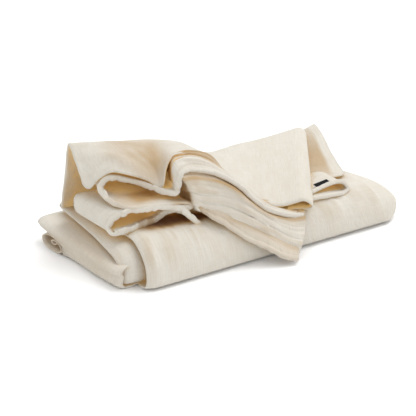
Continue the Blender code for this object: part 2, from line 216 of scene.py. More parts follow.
def spots_on(net):
    """The painted shade that the spots give each point, and the share of painted fold gold left
    there.
    """
    shade = np.zeros(net.shape[:2])
    painted_gold_kept = np.ones(net.shape[:2])
    for x, y, z, reach_x, reach_y, reach_z, dark, left in columns(SPOTS):
        away = (net - (x, y, z)) / (reach_x, reach_y, reach_z)
        inside = np.exp(-(away ** 4).sum(axis=2))
        shade += dark * inside
        painted_gold_kept *= 1 - (1 - left) * inside
    return shade, painted_gold_kept


cloth_points = []
cloth_faces = []
cloth_fabric = []
cloth_light = []


def lay(net, half=HALF, patch=(0.0, 0.0), *, shown, shade=0.0, upper_shown=None):
    """Adds a closed sheet to the cloth, with the net in the middle of its thickness.

    patch is where the sheet starts on the flat cloth, shown is how much of the painted golden
    fold shade it takes, upper_shown the same for its upper side where that differs, and shade is
    painted shade of its own.
    """
    rings, width = net.shape[:2]
    half = np.broadcast_to(half, (rings, width)).copy()
    for edge in (half[0], half[-1], half[:, 0], half[:, -1]):
        edge *= END_SHARE
    offset = normals_of(net) * half[..., None]
    pair = np.concatenate([(net + offset).reshape(-1, 3), (net - offset).reshape(-1, 3)])
    pair[:, 2] = np.maximum(pair[:, 2], FLOOR_GAP)
    fabric = (fabric_of(net) + patch).reshape(-1, 2)
    start = sum(len(points) for points in cloth_points)
    under = rings * width
    top = start + np.arange(under).reshape(rings, width)
    a, b, c, d = top[:-1, :-1], top[:-1, 1:], top[1:, 1:], top[1:, :-1]
    upper = np.stack([a, d, c, b], axis=2).reshape(-1, 4)
    lower = np.stack([a, b, c, d], axis=2).reshape(-1, 4) + under
    border = np.concatenate([top[0], top[1:, -1], top[-1, -2::-1], top[-2:0:-1, 0]])
    after = np.roll(border, -1)
    rim = np.stack([border, after, after + under, border + under], axis=1)
    cloth_points.append(pair)
    cloth_faces.append(np.concatenate([upper, lower, rim]))
    cloth_fabric.append(np.concatenate([fabric, fabric]))
    dark, left = spots_on(net)
    for side in (shown if upper_shown is None else upper_shown, shown):
        cloth_light.append(np.stack([left * side, dark + shade], axis=2).reshape(-1, 2))


def off_floor(net):
    """The net with what would lie in the floor lifted onto it."""
    net[..., 2] = np.maximum(net[..., 2], LOWEST)
    return net


# The pad, from its floor layer round the front, over the top, down the back and in again. Its
# right end is a round nose. step is how far apart the mesh's rows are there: they are close
# together at the front, where the slubs and crinkles show.
PAD_STATIONS = (0.0, 0.03, 0.07, 0.16, 0.36, 0.6, 0.82, 1.0)    # shares, up to the nose
LEFT_ROUND_X = 26.0      # the left end is round up to here
NOSE_Z = 14.0            # the tip of the nose, and how low it tucks in
NOSE_TUCK_Z = 4.0
NOSE_ANGLES = (25.0, 50.0, 72.0, 90.0, 112.0, 140.0)
NO_NOSE_REACH = 10.0     # the length of the end where a line has no nose
PAD_SLUBS = ((60.0, 4.2, 11, 1.0), (20.0, 6.5, 12, 0.7))
PAD_SLUB_HEIGHT = 1.1
PAD_SLUB_SHADE = 0.4
PAD_WAVE = (26.0, 18.0, 13, 0.8)
PAD = (
    # line               step x_left x_right nose left_y      y right_y left_z z_left z_right
    ("floor back",       14.0,  22.0,    304,   0, 134.0, 134.0,    130,   1.2,   1.2,    1.2),
    ("floor middle",     14.0,  20.0,    306,   0,  70.0,  70.0,     70,   1.2,   1.2,    1.2),
    ("floor front",       9.0,  14.0,    310,   0,  12.0,  10.0,     16,   1.2,   1.2,    1.2),
    ("floor edge",        5.0,  12.0,    312,   0,   0.0,  -5.0,      6,   1.2,   1.2,    1.2),
    ("toe",               3.0,  10.0,    314,   0, -11.0, -16.0,      0,   3.4,   3.4,    3.6),
    ("low belly",         4.2,  12.0,    323,  36, -12.5, -18.0,      0,   8.6,   9.0,    8.0),
    ("belly",             4.4,  13.0,    327,  42, -10.5, -15.5,      6,  20.0,  22.0,   18.0),
    ("shoulder",          4.0,  13.0,    327,  45,  -3.0,  -6.5,     13,  34.0,  39.0,   29.0),
    ("crest",             4.2,  14.0,    327,  50,  12.0,   8.0,     22,  43.5,  49.0,   34.5),
    ("top front",         6.0,  17.0,    327,  58,  34.0,  32.0,     39,  43.0,  47.0,   33.5),
    ("top middle",       11.0,  14.0,    321,  72,  80.0,  80.0,     76,  42.0,  45.5,   25.5),
    ("top back",          8.0,  18.0,    308,  74, 128.0, 128.0,    110,  41.0,  43.5,   22.0),
    ("back fold top",     5.0,  18.0,    304,  70, 143.0, 144.0,    122,  38.0,  41.0,   19.5),
    ("back fold",         5.0,  18.0,    302,  60, 148.0, 149.0,    130,  34.0,  35.8,   17.0),
    ("back fold under",   8.0,  17.0,    290,   0, 143.5, 144.0,    140,  31.0,  31.6,   20.5),
    ("return back",      16.0,  15.0,    286,   0, 125.0, 125.0,    124,  29.5,  32.5,   21.5),
    ("return middle",    16.0,   7.0,    288,   0,  75.0,  75.0,     75,  29.5,  36.5,   24.5),
    ("return front",      7.0,  -2.0,    294,   0,  34.0,  30.0,     30,  29.0,  38.5,   28.5),
    ("inner crest",       4.0,  -5.0,    296,   0,  18.0,  12.0,     12,  27.0,  36.5,   27.0),
    ("inner belly",       4.0,  -5.5,    296,   0,   9.5,   0.0,      0,  19.0,  24.0,   18.0),
    ("inner toe",         4.0,  -5.5,    296,   0,   8.5,  -2.0,      0,   6.0,   8.6,    8.0),
    ("inner end",         4.0,  -5.0,    296,   0,  12.0,   5.0,      8,   2.4,   4.6,    4.6),
)


def rounded(distance, length):
    """1 away from an end, falling to 0 at it as a quarter circle does."""
    share = np.clip(distance / length, 0.0, 1.0)
    return np.sqrt(1.0 - (1.0 - share) ** 2)


def pad_net():
    net = []
    turn = np.radians(NOSE_ANGLES)
    for _, x_left, x_right, nose, left_y, y, right_y, left_z, z_left, z_right in columns(PAD):
        reach = nose or NO_NOSE_REACH
        flat_end = x_right - reach
        x = x_left + (flat_end - x_left) * np.array(PAD_STATIONS)
        left = rounded(x - x_left, LEFT_ROUND_X - x_left)
        z = z_left + (z_right - z_left) * (x - x_left) / (x_right - x_left)
        z = left_z + (z - left_z) * left
        y_flat = y + (left_y - y) * (1 - left)
        if nose > 0:
            fall = np.cos(turn)
            end_x = flat_end + reach * np.sin(turn)
            nose_z = min(NOSE_Z, z[-1])
            drop = np.where(fall > 0, z[-1] - nose_z, nose_z - NOSE_TUCK_Z)
            end_z = nose_z + drop * fall
            end_y = y + (right_y - y) * (1 - np.maximum(fall, 0))
        else:
            run = turn / turn[-1]
            end_x = flat_end + reach * run
            end_z = z[-1] + (z_right - z[-1]) * run
            end_y = y + (right_y - y) * run**2
        net.append(np.stack([np.concatenate(pair) for pair in
                             ((x, end_x), (y_flat, end_y), (z, end_z))], axis=1))
    return np.array(net)


pad = off_floor(fine(pad_net(), columns(PAD)[:, 0], step_across=2.3, bend=0.4, bend_across=0.4))
where = fabric_of(pad)
front = ramp(pad[..., 2], 6, 26) * ramp(pad[..., 1], 60, 0)
high = ramp(pad[..., 2], 14, 39, 0.3)
slubs = rippled(where, *PAD_SLUBS)
pad = moved(pad, (PAD_SLUB_HEIGHT * slubs * high + rippled(where, PAD_WAVE)) * front)
lay(off_floor(pad), shown=0.5, shade=PAD_SLUB_SHADE * np.clip(-slubs, 0, 1) * high * front)

# The lower folds, which close the left end. Each line runs from the front, where its edge turns
# in, to the back, where the folds are drawn up over a small rolled loop.
LOWER_FRONT_Y = 4.5
LOWER_MIDDLE_Y = 90.0
LOWER_TURN_X = 3.5       # how far in the front edge turns, and the front of its turn
LOWER_TURN_Y = 3.5
LOWER_WAVE = (9.0, 24.0, 21, 0.35)
LOWER = (
    # line           x_front z_front  x_mid z_mid x_back y_back z_back
    ("inside left",     32.0,   13.0,  36.0, 13.0,  36.0, 152.0,  13.0),
    ("inside",         150.0,   12.0, 150.0, 11.8, 150.0, 152.0,  11.8),
    ("inside right",   281.0,   11.4, 281.0, 11.2, 281.0, 152.0,  11.2),
    ("right fold",     284.4,    8.2, 284.4,  8.2, 284.4, 152.0,   8.2),
    ("floor right",    281.0,    5.0, 281.0,  5.0, 281.0, 152.0,   5.0),
    ("floor",          150.0,    5.0, 150.0,  5.0, 150.0, 152.0,   5.0),
    ("floor left",      26.0,    4.9,  26.0,  4.6,  26.0, 150.0,   4.6),
    ("floor edge",       7.0,    1.8,   8.0,  1.6,   1.5, 125.0,   1.4),
    ("low fold",        -5.0,    1.5,  -5.0,  1.4,  -7.0, 104.5,   1.4),
    ("low tip",         -8.0,    4.4,  -9.0,  4.6, -10.4, 102.0,   4.8),
    ("low fold top",   -10.6,    7.0,  -9.8,  7.6, -10.8, 101.0,   8.4),
    ("tuck in",         -9.6,    9.0,  -9.9,  9.6, -10.6, 101.5,  11.6),
    ("tuck",            -5.6,   11.0,  -9.8, 11.4, -10.2, 106.0,  14.0),
    ("tuck out",        -5.0,   12.6,  -9.7, 13.2,  -9.4, 117.0,  15.4),
    ("end fold low",    -8.8,   14.6,  -9.5, 15.2,  -8.4, 135.0,  16.3),
    ("end fold",       -10.2,   17.6,  -8.8, 18.2,  -6.9, 151.0,  17.9),
    ("end fold top",    -5.6,   21.8,  -5.0, 22.2,  -4.0, 152.0,  22.4),
    ("upper left",       7.0,   23.9,   9.0, 23.8,   9.0, 152.0,  23.8),
    ("upper",          150.0,   21.5, 150.0, 20.5, 150.0, 152.0,  20.5),
    ("upper right",    268.0,   17.4, 268.0, 16.2, 268.0, 152.0,  16.2),
    ("upper turn",     275.5,   19.4, 275.5, 16.4, 275.5, 152.0,  16.4),
    ("upper end",      278.0,   27.6, 278.0, 21.6, 278.0, 152.0,  21.6),
)

lower = np.array([[(x_front + LOWER_TURN_X, LOWER_TURN_Y, z_front),
                   (x_front, LOWER_FRONT_Y, z_front),
                   (x_middle, LOWER_MIDDLE_Y, z_middle),
                   (x_back, y_back, z_back)]
                  for x_front, z_front, x_middle, z_middle, x_back, y_back, z_back
                  in columns(LOWER)])
lower = fine(lower, step=7.0, step_across=8.0, bend=0.4, bend_across=0.5)
lower = moved(lower, rippled(fabric_of(lower), LOWER_WAVE))
lay(off_floor(lower), patch=(900.0, 0.0), shown=0.5)

# The small rolled loop at the back left corner, under those folds: a line round it from the
# inside.
EAR_HALF = 0.9
EAR_RUN = (0.0, 4.0, 16.0)        # how far it goes in under the pad
EAR = (
    # line           x_out      y     z
    ("inner end",     -7.0, 117.0,  8.8),
    ("inner low",     -7.5, 121.0,  6.0),
    ("inner back",    -8.0, 127.0,  7.2),
    ("inner top",     -8.5, 124.0, 10.4),
    ("inner front",   -9.0, 114.0, 10.8),
    ("front",        -10.0, 106.5,  8.0),
    ("front low",    -10.5, 105.5,  4.0),
    ("floor",        -10.5, 112.0,  1.4),
    ("floor back",   -10.5, 127.0,  1.4),
    ("back",         -10.5, 137.0,  4.6),
    ("back top",      -9.8, 139.5, 10.2),
    ("top",           -8.5, 134.0, 13.4),
    ("top front",     -7.5, 122.0, 13.2),
)

ear = np.array([[(x_out + run, y, z) for run in EAR_RUN] for x_out, y, z in columns(EAR)])
ear = off_floor(fine(ear, step=1.6, step_across=3.5))
lay(ear, half=EAR_HALF, patch=(1200.0, 1500.0), shown=0.5)

# The peak and the panel to its right are one sheet over a ridge, with a wall behind. belly is
# how far the sheet swells out between its lower edge and the ridge.
RIDGE_WAVES = ((24.0, 16.0, 31, 1.0), (7.0, 9.0, 32, 0.35))
RIDGE_BROW = 0.92        # the brow is this far up, and keeps this much of the belly
RIDGE_BROW_BELLY = 0.35
RIDGE_BEHIND = (0.0, 0.12, 0.08)  # two places down the wall behind, as shares of it
RIDGE_WALL = (0.0, 0.38, 0.45)
PEAK_X = 125.0           # the peak's creases fade from here to the smooth panel
PANEL_X = 165.0
RIDGE = (
    # section         low_x  low_y  low_z ridge_x ridge_y ridge_z belly foot_y foot_z
    ("left edge",       0.3,  82.0,  84.4,    2.5,  110.0,  118.0,  1.0, 124.0,  46.0),
    ("corner",          1.3,  79.0,  80.6,    5.0,  109.8,  117.4,  1.2, 124.5,  45.5),
    ("corner right",    5.9,  76.0,  79.1,    9.0,  109.5,  116.7,  1.4, 125.5,  44.5),
    ("tip side",        9.9,  73.0,  86.9,   14.0,  109.2,  116.0,  1.8, 126.5,  43.8),
    ("left",           22.7,  66.0,  96.5,   27.0,  108.0,  113.6,  3.0, 129.0,  42.0),
    ("left middle",    40.0,  54.0,  93.4,   48.0,  106.0,  109.6,  5.0, 131.0,  40.5),
    ("middle",         54.8,  42.0,  86.4,   68.0,  103.0,  106.5,  6.0, 132.0,  40.0),
    ("fold corner",    62.3,  34.0,  81.1,   84.0,  101.0,  104.3,  6.0, 132.0,  40.0),
    ("beside rise",    65.3,  33.0,  89.5,   94.0,   99.5,  102.5,  5.0, 132.0,  40.0),
    ("up the rise",    69.5,  36.0,  98.3,  103.0,   98.0,  100.4,  4.0, 132.0,  39.8),
    ("rise top",       76.6,  40.0, 105.6,  111.0,   96.3,   98.4,  3.0, 132.0,  39.7),
    ("over rise",      88.4,  43.0, 108.1,  120.0,   94.5,   95.0,  2.5, 132.0,  39.5),
    ("roll start",    105.7,  45.0, 103.5,  130.0,   92.8,   89.8,  2.0, 132.0,  39.2),
    ("roll bend",     120.1,  43.0,  98.1,  142.0,   91.2,   82.6,  1.0, 132.0,  39.0),
    ("notch",         129.5,  39.0,  90.6,  152.0,   90.0,   77.4,  0.0, 132.0,  38.7),
    ("after notch",   139.1,  30.0,  77.2,  163.0,   91.5,   74.2,  0.0, 132.0,  38.4),
    ("slope",         148.0,  20.0,  66.0,  180.0,   98.0,   70.5,  0.0, 132.0,  38.0),
    ("panel left",    162.4,   9.0,  51.6,  204.0,  105.0,   67.5,  0.0, 133.0,  37.0),
    ("panel",         174.6,   2.0,  44.9,  236.0,  110.0,   63.4,  0.5, 135.0,  36.3),
    ("panel middle",  186.2,  -4.0,  44.6,  257.0,  113.0,   62.0,  1.0, 136.0,  35.5),
    ("panel right",   196.2,  -9.0,  47.6,  275.0,  116.0,   60.8,  1.0, 137.0,  34.5),
    ("lifted edge",   203.2, -13.0,  49.2,  286.0,  117.3,   60.4,  0.7, 137.0,  34.2),
    ("fold top",      207.8, -16.0,  46.4,  293.5,  118.4,   58.8,  0.0, 137.0,  34.0),
    ("right fold",    210.7, -18.0,  42.6,  297.5,  116.4,   53.1,  0.0, 133.5,  34.0),
    ("fold under",    207.8, -16.0,  39.8,  294.0,  114.4,   49.6,  0.0, 130.0,  34.0),
    ("return",        201.4,  -8.5,  39.3,  280.0,  110.0,   49.0,  0.0, 130.0,  34.0),
    ("return left",   182.0,  -3.0,  39.8,  262.0,  106.0,   48.5,  0.0, 128.0,  34.0),
    ("return end",    164.0,   5.0,  41.5,  242.0,  102.0,   47.5,  0.0, 126.0,  34.0),
)

# Soft dents in the peak, seen from above.
DENTS = (
    # dent          x_start y_start x_end y_end width depth shade
    ("left",             66,     98,   24,   66,  6.0,  3.5, 0.04),
    ("middle",           23,     88,   54,   58,  5.0,  3.0, 0.10),
    ("right",            94,     98,   66,   44, 10.0,  4.5, 0.42),
    ("top",              40,    108,   84,   80,  7.0,  2.6, 0.22),
    ("low",              34,     70,   62,   46,  5.0,  2.0, 0.04),
    ("thin right",       64,     87,   68,   54,  2.5,  1.3, 0.20),
    ("thin middle",      50,     86,   62,   50,  2.5,  1.1, 0.16),
    ("thin left",        28,     88,   40,   60,  2.5,  1.0, 0.12),
)


def ridge_net():
    net = []
    for *ends, belly, foot_y, foot_z in columns(RIDGE):
        low, ridge = np.array(ends).reshape(2, 3)
        foot = np.array([ridge[0], foot_y, foot_z])
        rise = ridge - low
        out = np.cross((1.0, 0.0, 0.0), rise)
        out = out / np.linalg.norm(out)
        brow = low + RIDGE_BROW * rise + out * (RIDGE_BROW_BELLY * belly + 0.5)
        middle = low + 0.5 * rise + out * belly
        behind = ridge + (foot - ridge) * RIDGE_BEHIND
        wall = ridge + (foot - ridge) * RIDGE_WALL
        net.append([low, middle, brow, ridge, behind, wall, foot, foot - (0.0, 0.0, 3.0)])
    return turned(np.array(net))


def trough(plan, start, end, width):
    """A soft trough from start to end, 1 deep along its line and shallow at its ends."""
    start, end = np.array(start), np.array(end)
    line = end - start
    share = np.clip(((plan - start) @ line) / (line @ line), 0, 1)
    away = np.linalg.norm(plan - start - share[..., None] * line, axis=-1)
    fade = np.clip(4 * share * (1 - share) + 0.25, 0, 1)
    return fade * np.exp(-(away / width) ** 2)


ridge = fine(ridge_net(), step=2.9, step_across=2.7)
height = rippled(fabric_of(ridge), *RIDGE_WAVES)
shade = np.zeros(ridge.shape[:2])
for x_start, y_start, x_end, y_end, wide, deep, dark in columns(DENTS):
    dent = trough(ridge[..., :2], (x_start, y_start), (x_end, y_end), wide)
    height -= dent * deep
    shade += dent * dark
on_peak = ramp(ridge[..., 0], PANEL_X, PEAK_X, 0.25)
below_ridge = ramp(ridge[..., 2].max(axis=0) - ridge[..., 2], 0, 8, 0.15)
ridge = moved(ridge, height * on_peak * below_ridge)
lay(ridge, patch=(0.0, 700.0), shade=shade, shown=0.3, upper_shown=1.0)

# Across the hem: a rolled edge, the row of stitches that draws it in, and the puffed band
# behind. pucker is how much of the ripples below it takes.
HEM = (
    # place           distance half_thick pucker
    ("edge",               0.0,      0.90,  1.00),
    ("edge round",         0.4,      2.10,  1.00),
    ("roll front",         1.0,      3.00,  1.00),
    ("roll",               1.9,      3.40,  1.00),
    ("roll top",           2.9,      3.40,  0.90),
    ("roll back",          3.9,      2.90,  0.90),
    ("stitches near",      4.8,      1.90,  1.00),
    ("stitches",           5.5,      1.35,  1.00),
    ("stitches far",       6.3,      1.60,  0.90),
    ("band",               7.6,      2.10,  0.80),
    ("band back",          9.2,      1.80,  0.60),
    ("cloth",             11.2,      1.20,  0.25),
    ("flat cloth",        14.0,      1.10,  0.10),
)
HEM_THINNEST = 0.5
NEAR_SHARE = 0.8
HEM_SHOWN = 0.4          # the puffed hem stands out of its fold, so it takes little painted fold shade and stays pale
HEM_GROOVE = 0.25        # where its two folded edges meet, and how uneven that is
HEM_GROOVE_CELL = 9.0
HEM_GROOVE_CHANGE = 0.5

# How its stitches pucker it: ripples, in cells, that move its face and its edge in and out and
# change how plump it is.
PUCKERS = (
    # kind    along  across  face   edge  plump
    ("bumps",   4.6,   12.0, 0.45,  0.50,  0.12),
    ("small",   2.6,    5.0, 0.50,  0.45,  0.16),
    ("sway",   11.0,   60.0, 0.35,  1.00,  0.00),
)


def points_net(table, kept=None):
    """A net whose rows are the table's rows, each of a few points."""
    return columns(table)[:, :kept].reshape(len(table), -1, 3)


def across_at(net, distances, step):
    """The net with columns at the distances from its first, then about a step apart.

    On a short line the columns at the distances draw in to a share of it.
    """
    reached = [summed(line) for line in lengths(net[..., :3], 1)]
    rest = np.mean([along[-1] for along in reached]) - distances[-1]
    share = np.linspace(0, 1, max(2, int(round(rest / step))) + 1)[1:]
    made = []
    for line, along in zip(net, reached):
        far = along[-1]
        near = np.minimum(distances, far * np.linspace(0.0, NEAR_SHARE, len(distances)))
        at = np.concatenate([near, near[-1] + share * (far - near[-1])])
        made.append(np.stack([np.interp(at, along, value) for value in line.T], axis=1))
    return np.array(made)


def hemmed(net, step):
    return across_at(net, columns(HEM)[:, 0], step)


def puckered(net, seed, full):
    """The net with the hem's puckers in it, its half thickness, and how much painted fold shade
    it shows.
    """
    table = columns(HEM)
    full = np.broadcast_to(full, len(net))[:, None]
    where = fabric_of(net)
    far = where[..., 1]
    pucker = np.interp(far, table[:, 0], table[:, 2], right=0.0) * full
    cells = columns(PUCKERS)
    ripples = np.array([crinkle(where, along, across, seed + number)
                        for number, (along, across) in enumerate(cells[:, :2])])
    face, edge, plump = np.tensordot(cells[:, 2:].T, ripples, axes=1)
    over = turned(directions(turned(net)))
    net = moved(net, pucker * face) - over * (pucker * edge)[..., None]
    drawn = crinkle(where[:, :1], HEM_GROOVE_CELL, HEM_GROOVE_CELL, seed + len(cells))
    drawn = HEM_GROOVE * (1.0 + HEM_GROOVE_CHANGE * drawn) * full
    net[:, :1] += over[:, :1] * drawn[..., None]
    half = np.interp(far, table[:, 0], table[:, 1])
    half = HALF + (half * (1 + pucker * plump) - HALF) * full
    return net, np.maximum(half, HEM_THINNEST), ramp(far, 5, 10, HEM_SHOWN)


# The loose pleats on top. Their hem faces the front and their back ends run in under the peak.
# hem is how full the hem is drawn up there.
PLEATS_FULL = 0.85
PLEATS = (
    # line               hem_x hem_y hem_z back_x back_y back_z   hem
    ("turn top",          72.9, 21.0, 86.5,  80.0,    90,  86.0, 1.00),
    ("turn low",          72.7, 19.5, 81.0,  78.0,    94,  83.5, 1.00),
    ("upper leg right",   65.6, 22.5, 79.2,  69.0,   104,  86.0, 1.00),
    ("upper leg low",     58.8, 32.0, 80.6,  60.0,   105,  88.0, 1.00),
    ("upper leg",         51.3, 44.0, 83.6,  50.0,   106,  90.0, 1.00),
    ("upper leg left",    37.9, 58.0, 87.2,  38.0,   106,  90.5, 1.00),
    ("first tip top",     22.2, 67.0, 91.4,  30.0,   104,  90.0, 1.10),
    ("first tip",         14.2, 69.0, 85.0,  27.0,   100,  85.0, 1.20),
    ("first tip low",     10.6, 60.0, 77.2,  24.0,    96,  78.0, 1.10),
    ("second leg start",  11.9, 47.0, 73.3,  24.0,    98,  76.0, 0.80),
    ("second leg left",   17.5, 34.0, 71.4,  28.0,    96,  75.0, 0.50),
    ("second leg",        39.7, 22.0, 71.4,  54.0,    92,  74.5, 0.30),
    ("second leg right",  78.9, 13.5, 68.5,  86.0,    90,  73.5, 0.30),
    ("right fold",        86.1, 12.5, 64.8,  90.0,    88,  70.5, 0.60),
    ("third leg right",   81.9, 12.5, 63.6,  86.0,    86,  67.2, 1.00),
    ("third leg",         49.1, 18.0, 68.9,  50.0,    88,  67.0, 1.00),
    ("third leg left",    17.2, 30.0, 67.6,  20.0,    92,  68.5, 1.00),
    ("second tip top",     8.0, 36.0, 60.9,   1.5,    96,  67.0, 1.10),
    ("second tip",         3.0, 38.0, 53.2,  -0.5,    96,  59.5, 1.20),
    ("second tip low",     2.6, 30.0, 48.8,   0.0,    92,  50.5, 1.10),
    ("lowest leg left",   17.4, 25.0, 50.5,  20.0,    95,  50.5, 1.10),
    ("lowest leg",        39.7, 29.0, 50.2,  45.0,    94,  51.5, 1.20),
    ("arch left",         53.0, 28.0, 52.0,  58.0,    90,  56.0, 1.20),
    ("arch",              64.1, 22.0, 60.6,  70.0,    86,  60.0, 1.40),
    ("arch right",        72.5, 13.0, 62.6,  78.0,    84,  58.0, 1.35),
    ("arch low",          79.9,  6.5, 55.4,  86.0,    78,  54.0, 1.00),
    ("lowest leg right",  91.4,  6.0, 43.5,  92.0,    66,  48.0, 0.90),
)

full = columns(PLEATS)[:, 6:]
pleats = np.stack([np.concatenate([ends, full], axis=1)
                   for ends in turned(points_net(PLEATS, 6))], axis=1)
pleats = fine_rows(pleats, step=1.25)
full = pleats[:, 0, 3]
pleats, half, shown = puckered(hemmed(pleats[..., :3], step=7.0), 41, PLEATS_FULL * full)
lay(pleats, half, patch=(1500.0, 0.0), shown=shown)

# The roll: the hemmed edge turns up beside the pleats, over, and down to the front corner. Its
# ribs run along it. shade is how dark the groove behind its crest is.
ROLL_FULL = 0.65
ROLL_SHADE = (0.0, 0.0, 0.0, 1.0, 1.0)      # the share of it from the hem to the back
ROLL_SWAY = (30.0, 60.0, 51, 1.6)
ROLL_RIB_TURN = 1.3      # radians a millimetre
ROLL_RIB = 1.1
ROLL_RIB_SHADE = 0.25
ROLL_FRONT = (
    # section       hem_x  hem_y hem_z face_x face_y face_z crest_x crest_y crest_z
    ("turn",         72.7,  19.5, 81.0,  71.9,  20.5,  84.2,   71.5,   23.0,   85.5),
    ("rise low",     76.5,  20.0, 85.9,  72.9,  21.5,  89.6,   72.0,   25.0,   91.8),
    ("rise",         77.3,  20.0, 91.7,  72.9,  22.0,  98.1,   72.4,   27.0,  101.3),
    ("rise top",     79.8,  20.0, 96.3,  75.8,  24.0, 104.3,   75.7,   30.0,  108.2),
    ("bend",         87.7,  20.0, 97.3,  86.4,  26.0, 103.1,   87.6,   33.0,  107.6),
    ("bend right",   99.1,  18.0, 95.1, 100.9,  25.0, 100.0,  101.5,   32.0,  104.5),
    ("fall start",  109.2,  15.0, 92.3, 111.5,  21.0,  94.7,  113.4,   28.0,   97.9),
    ("fall",        117.4,  11.0, 88.8, 121.6,  17.0,  89.2,  125.2,   24.0,   88.7),
    ("slope",       128.2,   5.5, 81.9, 133.3,  11.0,  80.6,  137.4,   17.0,   79.1),
    ("low slope",   137.2,   0.0, 73.3, 141.9,   5.0,  72.2,  146.0,   10.0,   71.0),
    ("foot",        145.9,  -5.0, 62.5, 151.2,   0.0,  61.0,  155.9,    5.0,   59.3),
    ("foot right",  157.7, -10.0, 51.0, 162.0,  -5.5,  49.5,  167.0,   -1.0,   48.6),
    ("end",         172.0, -14.0, 43.3, 176.0, -10.0,  42.4,  180.0,   -6.0,   41.9),
    ("end right",   185.0, -18.0, 39.3, 188.4, -14.0,  38.5,  192.4,  -10.0,   38.0),
    ("corner",      196.4, -21.0, 36.8, 199.8, -17.0,  36.1,  203.4,  -13.5,   36.1),
)
ROLL_BACK = (
    # section      groove_x groove_y groove_z back_x back_y back_z shade
    ("turn",           75.1,      30,    84.3,  77.6,    38,  85.6,  0.7),
    ("rise low",       75.7,      33,    89.6,  77.9,    41,  86.7,  0.8),
    ("rise",           76.3,      35,    99.1,  77.5,    43,  97.0,  0.9),
    ("rise top",       79.8,      38,   106.4,  82.0,    46, 106.2,  0.9),
    ("bend",           93.1,      41,   105.0, 100.0,    50, 106.7,  0.8),
    ("bend right",    109.6,      41,   100.7, 118.9,    50, 101.4,  0.7),
    ("fall start",    122.1,      38,    93.6, 131.4,    46,  94.7,  0.6),
    ("fall",          132.5,      31,    84.6, 141.2,    40,  78.5,  0.4),
    ("slope",         143.3,      22,    73.6, 150.0,    28,  67.5,  0.0),
    ("low slope",     151.9,      15,    65.2, 157.3,    21,  59.5,  0.0),
    ("foot",          160.5,       9,    54.3, 164.6,    14,  50.3,  0.2),
    ("foot right",    173.2,       7,    45.8, 179.2,    14,  46.6,  0.7),
    ("end",           186.2,       3,    39.5, 193.7,    12,  40.3,  0.8),
    ("end right",     199.4,       0,    36.2, 205.7,    10,  39.1,  0.8),
    ("corner",        209.9,      -5,    35.8, 215.0,     4,  37.8,  0.7),
)

roll = np.concatenate([points_net(ROLL_FRONT), points_net(ROLL_BACK, 6)], axis=1)
shade = columns(ROLL_BACK)[:, 6:] * ROLL_SHADE
roll = fine(np.concatenate([roll, shade[..., None]], axis=2), step=1.8, step_across=1.0)
roll = hemmed(roll, step=1.2)
roll, shade = roll[..., :3], roll[..., 3]
where = fabric_of(roll)
ribs = np.sin(where[..., 1] * ROLL_RIB_TURN + rippled(where, ROLL_SWAY))
ribs = ribs * ramp(where[..., 1], 6, 9)
roll, half, shown = puckered(moved(roll, ROLL_RIB * ribs), 53, ROLL_FULL)
lay(roll, half, patch=(0.0, 1200.0), shown=shown,
    shade=shade + ROLL_RIB_SHADE * np.maximum(-ribs, 0))

# The corner that hangs from under the roll. This is its upper layer, with ribs along it; its
# lower edge is a soft fold.
FLAP_UNDER = (0.0, 16.0, 4.0)     # its top runs on under the roll by this
FLAP_SHADE = (0.95, 0.35, 0.02, 0.0)        # from there down to its fold
FLAP_SHADOW_LINE = 0.75                  # and a painted shadow line close under the roll, this wide
FLAP_SHADOW_LINE_WIDTH = 3.2
FLAP_RIBS = ((60.0, 2.9, 61, 1.0), (14.0, 6.0, 62, 0.6))
FLAP_RIB = 1.15
FLAP_RIB_SHADE = 0.3
FLAP_FOLD_RADIUS = 2.2
FLAP_FOLD_TAIL = 10.0
FLAP_FOLD_ANGLES = (180.0, 155.0, 130.0, 105.0, 80.0, 55.0, 28.0)
FLAP_FOLD_EDGE = 5                # the column of the fold's outermost line
FLAP = (
    # section       top_x  top_y top_z  mid_x  mid_y mid_z fold_x fold_y fold_z
    ("behind",       79.0,  40.0, 88.9,  81.1,  36.0, 73.4,  87.8,  28.0,  56.0),
    ("return",       79.7,  27.0, 91.8,  85.5,  23.0, 74.9,  89.3,  18.0,  58.2),
    ("left edge",    77.2,  15.5, 93.9,  83.3,  11.0, 79.8,  85.8,   8.0,  64.1),
    ("ribs",         86.0,  15.0, 93.7,  93.5,  10.0, 75.4,  96.9,   6.0,  57.9),
    ("over front",  101.7,  13.0, 89.4, 107.3,   7.0, 71.8, 109.2,   1.0,  52.3),
    ("shoulder",    114.8,   9.0, 84.2, 119.2,   3.0, 68.6, 119.7,  -5.0,  49.0),
    ("upper",       127.2,   4.0, 76.3, 129.1,  -2.0, 62.5, 129.3, -10.5,  45.0),
    ("middle",      135.9,  -1.0, 67.5, 137.1,  -8.0, 56.6, 139.2, -15.5,  39.1),
    ("lower",       145.6,  -5.5, 56.3, 147.8, -12.0, 48.2, 149.5, -20.0,  31.9),
    ("low",         157.1, -10.0, 46.2, 159.3, -16.5, 39.8, 159.1, -25.5,  24.2),
    ("foot",        172.0, -14.0, 38.4, 170.8, -21.0, 32.0, 167.5, -31.0,  18.1),
    ("foot right",  184.7, -18.5, 34.6, 180.1, -26.0, 27.0, 174.5, -35.0,  14.0),
    ("right edge",  198.7, -22.0, 35.0, 192.6, -29.0, 23.3, 181.2, -38.5,  10.7),
)


def curled(net, radius, tail):
    """The net with its first column turned round a soft fold, back under the sheet."""
    normal = normals_of(net)[:, 0]
    out = net[:, 0] - net[:, 1]
    out = out / np.linalg.norm(out, axis=1, keepdims=True)
    middle = net[:, 0] - normal * radius
    end = middle - normal * radius
    lines = [end - out * tail, end - out * tail * 0.5]
    lines += [middle + normal * radius * math.cos(a) + out * radius * math.sin(a)
              for a in np.radians(FLAP_FOLD_ANGLES)]
    return np.concatenate([np.stack(lines, axis=1), net], axis=1)


